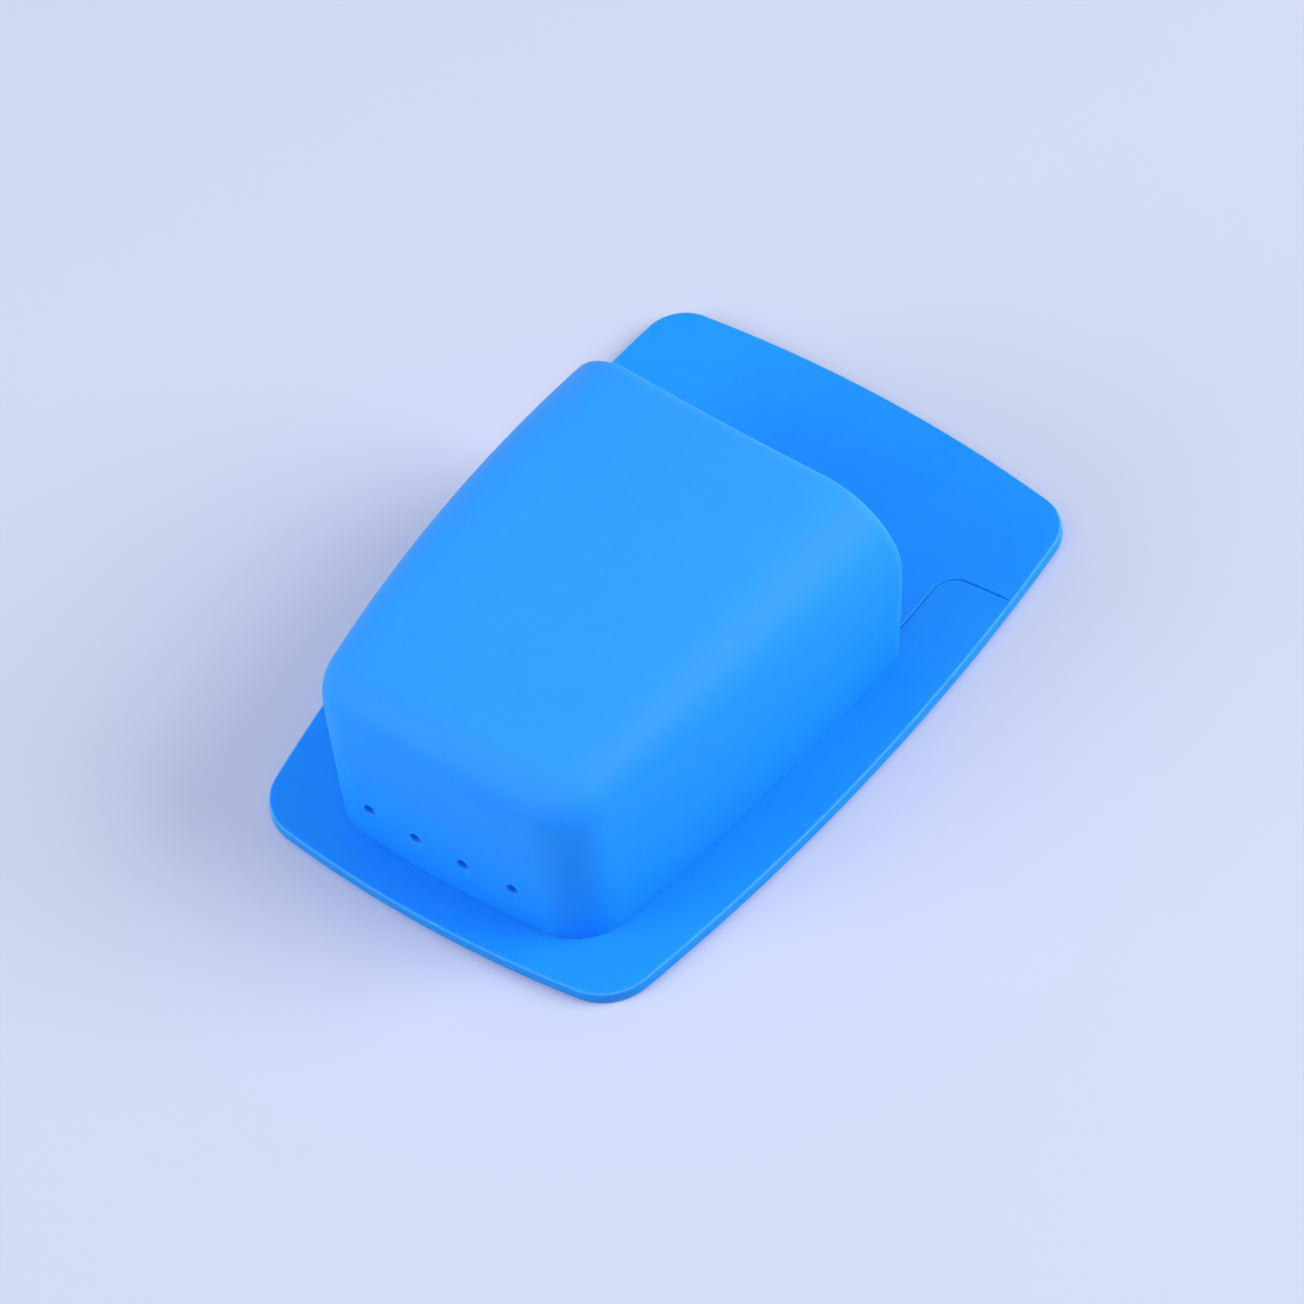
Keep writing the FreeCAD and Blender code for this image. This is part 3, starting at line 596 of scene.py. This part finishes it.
def side_surface(turn, inset):
    """Right side of the pocket's skin over angles of its bowed wall, extended past the mouth.

    The shoulder widens evenly along y, and the goal moves evenly along the spine.
    """
    outward = np.stack([np.cos(turn), np.sin(turn)], axis=-1)
    foot = POCKET_MIDDLE + (POCKET_BOW - inset) * outward
    corner = POCKET_MIDDLE[1] + POCKET_BOW * np.sin(POCKET_SIDE_FROM)
    share = (foot[..., 1] - corner) / (SHOULDER_END_AT - corner)
    radius = SHOULDER_CLOSED + (SHOULDER_MOUTH - SHOULDER_CLOSED) * np.maximum(share, 0.0) - inset
    goal = np.stack([0.0 * share, POLE_AT + (SHOULDER_END_AT - POLE_AT) * share], axis=-1)
    return pocket_surface(foot, -outward, radius, goal, np.broadcast_to(COURSE, turn.shape), inset)


def mouth_y(spots):
    """Mouth's surface: an arc in plan that leans outward with the height, and waves a little.

    The wave is w sin(a), with a 0 at its start height and a quarter turn at its top. From there up
    it fades out as a half cosine. The soft lip draws back at its feet and bulges above them.
    """
    middle = MOUTH_AT + np.sqrt(MOUTH_SCOOP ** 2 - (POCKET_WIDTH / 2) ** 2)
    height = spots[..., 2]
    lean = np.tan(np.radians(MOUTH_LEAN)) * (height - PLATE_TOP)
    wave = np.sin(np.pi / 2 * (np.minimum(height, WAVE_TOP) - WAVE_FROM) / (WAVE_TOP - WAVE_FROM))
    fade = (1 + np.cos(np.pi * np.clip((height - WAVE_TOP) / (WAVE_END - WAVE_TOP), 0.0, 1.0))) / 2
    return middle - np.sqrt(MOUTH_SCOOP ** 2 - spots[..., 0] ** 2) + lean + WAVE * wave * fade


def side_part(inset, short_by):
    """Side of the skin up to a distance before the mouth.

    The angle at which each row meets the mouth's surface is found by turns.
    """
    start = POCKET_SIDE_FROM
    finish = np.full(COURSE.shape, (MOUTH_AT - POCKET_WIDEST_AT) / POCKET_BOW)
    for _ in range(12):
        spots = side_surface(finish, inset)
        finish = finish + (mouth_y(spots) - short_by - spots[..., 1]) / POCKET_BOW
    share = np.linspace(0, 1, 64)[1:, None]
    return side_surface(start + (finish - start) * share, inset)


def mouth_lip(radius_out, radius_in):
    """Rounded rim between the outer and the inner skin: two quarter rounds with a flat between them.

    A quarter round from the skin to the rim's face is corner + r(t(1 - cos a) - s(1 - sin a)), with
    s along the skin towards the mouth and t across the wall.
    """
    outer, inner = side_part(0.0, 0.0)[-1], side_part(WALL, 0.0)[-1]
    outer_start, inner_start = side_part(0.0, radius_out)[-1], side_part(WALL, radius_in)[-1]
    across = inner - outer
    across /= np.linalg.norm(across, axis=-1, keepdims=True)
    rows = []
    for angle in np.radians(np.linspace(0, 90, 8))[1:]:
        skin = outer - outer_start
        size_out = np.linalg.norm(skin, axis=-1, keepdims=True)
        rows.append(outer + across * size_out * (1 - np.cos(angle)) - skin * (1 - np.sin(angle)))
    for angle in np.radians(np.linspace(90, 0, 8))[:-1]:
        skin = inner - inner_start
        size_in = np.linalg.norm(skin, axis=-1, keepdims=True)
        rows.append(inner - across * size_in * (1 - np.cos(angle)) - skin * (1 - np.sin(angle)))
    return np.stack(rows)


outside = np.concatenate([turned_part(0.0), side_part(0.0, LIP_OUTSIDE)])
inside = np.concatenate([turned_part(WALL), side_part(WALL, LIP_INSIDE)])
skin = np.concatenate([outside, mouth_lip(LIP_OUTSIDE, LIP_INSIDE), inside[::-1]])
# only the dome gets painted top light, which paints its up-facing top paler
dome_silicone = silicone("dome_blue_silicone", MOULDED_BLUE, paling=0.02, lint=0.25, grain=0.3,
                         roughness=0.5, painted_top_light=0.13)
pocket = half_piece("pocket_dome", [skin], [skin[::-1, 0]], dome_silicone)


def drain_drill(name, across):
    """Round drill along y through the end wall, flared like a rounded hole edge at the outside."""
    wall_at = POCKET_END_MIDDLE[1] - np.sqrt(POCKET_END_BOW ** 2 - across ** 2)
    flare = DRAIN_LIP * (1 - np.cos(np.radians(np.linspace(90, 0, 7))))
    depth = DRAIN_LIP * (1 - np.sin(np.radians(np.linspace(90, 0, 7))))
    radii = np.concatenate([[DRAIN_RADIUS + DRAIN_LIP], DRAIN_RADIUS + flare, [DRAIN_RADIUS]])
    places = wall_at + np.concatenate([[-DRILL_BEFORE], depth, [DRILL_PAST]])
    around = np.radians(np.arange(0, 360, 10))[:, None]
    grid = np.stack([across + radii * np.cos(around), places + 0 * around,
                     DRAIN_HEIGHT + radii * np.sin(around)], axis=-1)
    count, rows = grid.shape[:2]
    number = np.arange(count * rows).reshape(count, rows)
    following = np.roll(number, -1, axis=0)
    quads = np.stack([number[:, :-1], number[:, 1:], following[:, 1:], following[:, :-1]], axis=-1)
    faces = quads.reshape(-1, 4).tolist() + [number[:, 0].tolist(), number[::-1, -1].tolist()]
    mesh = bpy.data.meshes.new(name)
    mesh.from_pydata((grid.reshape(-1, 3) * MM).tolist(), [], faces)
    drill = bpy.data.objects.new(name, mesh)
    bpy.context.scene.collection.objects.link(drill)
    return drill


drills = [drain_drill("drill", DRAIN_OFFSET + (k - (DRAIN_COUNT - 1) / 2) * DRAIN_PITCH)
          for k in range(DRAIN_COUNT)]
for drill in drills:
    bore = pocket.modifiers.new("bore", "BOOLEAN")
    bore.operation = "DIFFERENCE"
    bore.solver = "EXACT"
    bore.object = drill
bored = bpy.data.meshes.new_from_object(pocket.evaluated_get(bpy.context.evaluated_depsgraph_get()))
pocket.modifiers.clear()
pocket.data = bored
bored.set_sharp_from_angle(angle=SHARP_ANGLE)
for drill in drills:
    bpy.data.objects.remove(drill)


def lip_highlight(spots):
    """Share of the painted highlight on the mouth's rounded lip, by the distance from the mouth's
    surface.
    """
    return np.clip(1.0 - (mouth_y(spots) - spots[:, 1]) / LIP_HIGHLIGHT_REACH, 0.0, 1.0)


# painted highlight along the mouth's rounded lip
set_painted_highlight(pocket, lip_highlight)
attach(pocket, "root")
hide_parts("pocket_shell")

# ---------------------------------------------------------------- tabletop, lamps and camera
# Pale tabletop under the caddy, in cool soft light: a strong lamp at its right, a weaker one at its
# left, one overhead and a dim room. The camera stands far off and looks down on the closed end.

FLOOR_HALF, FLOOR_HEIGHT = 6.0, -0.00002
PALE_GREY = (209, 211, 223)
LAMP_AWAY = 2.0
COOL_LAMP = (0.97, 1.0, 1.06)
COOL_ROOM, ROOM_STRENGTH = (0.84, 0.97, 1.32), 0.27
# name, heading and lift in degrees, width, and the part of a level white surface's light it gives
LAMPS = (("lamp_right", 34.0, 33.0, 1.6, 0.46),
         ("lamp_left", 236.0, 30.0, 1.6, 0.28),
         ("lamp_over", 136.0, 84.0, 2.2, 0.27))
CAMERA_TURN, CAMERA_LIFT, CAMERA_ROLL = 45.93, 52.73, -10.95
SHOWN_WIDTH = 0.27208
FOCAL, SENSOR = 1000.0, 36.0
LOOK_AT = np.array([-0.00304, 0.00239, 0.0])


def screen_colour(red, green, blue):
    """Linear colour of an 8-bit screen colour."""
    value = np.array([red, green, blue]) / 255.0
    linear = np.where(value <= 0.04045, value / 12.92, ((value + 0.055) / 1.055) ** 2.4)
    return (*linear.tolist(), 1.0)


def view_axes(azimuth, elevation, roll):
    """Right, up and backward unit vectors of a thing that looks at the object, from degrees.

    Backward is (sin az cos el, -cos az cos el, sin el). Right is level, up is their cross product,
    and both are then rolled about the view.
    """
    around, lifted, rolled = np.radians([azimuth, elevation, roll])
    level_part = np.cos(lifted)
    backward = np.array([np.sin(around) * level_part, -np.cos(around) * level_part, np.sin(lifted)])
    level = np.array([np.cos(around), np.sin(around), 0.0])
    upright = np.cross(backward, level)
    return (np.cos(rolled) * level + np.sin(rolled) * upright,
            -np.sin(rolled) * level + np.cos(rolled) * upright, backward)


def stand(thing, axes, spot):
    """Puts an object at a spot, with its axes along three unit vectors."""
    placed = np.eye(4)
    placed[:3, :3] = np.stack(axes, axis=-1)
    placed[:3, 3] = spot
    thing.matrix_world = Matrix(placed.tolist())
    bpy.context.scene.collection.objects.link(thing)


floor_mesh = bpy.data.meshes.new("tabletop")
floor_corners = np.array([(-1, -1), (1, -1), (1, 1), (-1, 1)]) * FLOOR_HALF
floor_mesh.from_pydata([(x, y, FLOOR_HEIGHT) for x, y in floor_corners.tolist()], [], [(0, 1, 2, 3)])
floor = bpy.data.objects.new("tabletop", floor_mesh)
bpy.context.scene.collection.objects.link(floor)
floor_paint = bpy.data.materials.new("pale_tabletop")
floor_paint.use_nodes = True
floor_shader = floor_paint.node_tree.nodes["Principled BSDF"]
floor_shader.inputs["Base Color"].default_value = screen_colour(*PALE_GREY)
floor_shader.inputs["Roughness"].default_value = 0.6
floor_shader.inputs["Specular IOR Level"].default_value = 0.25
floor_mesh.materials.append(floor_paint)

for name, heading, lift, wide, share in LAMPS:
    lamp = bpy.data.lights.new(name, "AREA")
    lamp.shape = "DISK"
    lamp.size = wide
    lamp.color = COOL_LAMP
    lamp.energy = share * np.pi ** 2 * LAMP_AWAY ** 2 / np.sin(np.radians(lift))
    axes = view_axes(heading + 90.0, lift, 0.0)
    stand(bpy.data.objects.new(name, lamp), axes, axes[2] * LAMP_AWAY)

world = bpy.data.worlds.new("room")
world.use_nodes = True
bpy.context.scene.world = world
glow = world.node_tree.nodes["Background"]
glow.inputs["Color"].default_value = (*COOL_ROOM, 1.0)
glow.inputs["Strength"].default_value = ROOM_STRENGTH

lens = bpy.data.cameras.new("camera")
lens.lens = FOCAL
lens.sensor_width = SENSOR
lens.clip_start = 0.1
lens.clip_end = 100.0
camera = bpy.data.objects.new("camera", lens)
camera_axes = view_axes(CAMERA_TURN, CAMERA_LIFT, CAMERA_ROLL)
stand(camera, camera_axes, LOOK_AT + camera_axes[2] * SHOWN_WIDTH * FOCAL / SENSOR)
bpy.context.scene.camera = camera
bpy.context.scene.view_settings.view_transform = "Standard"
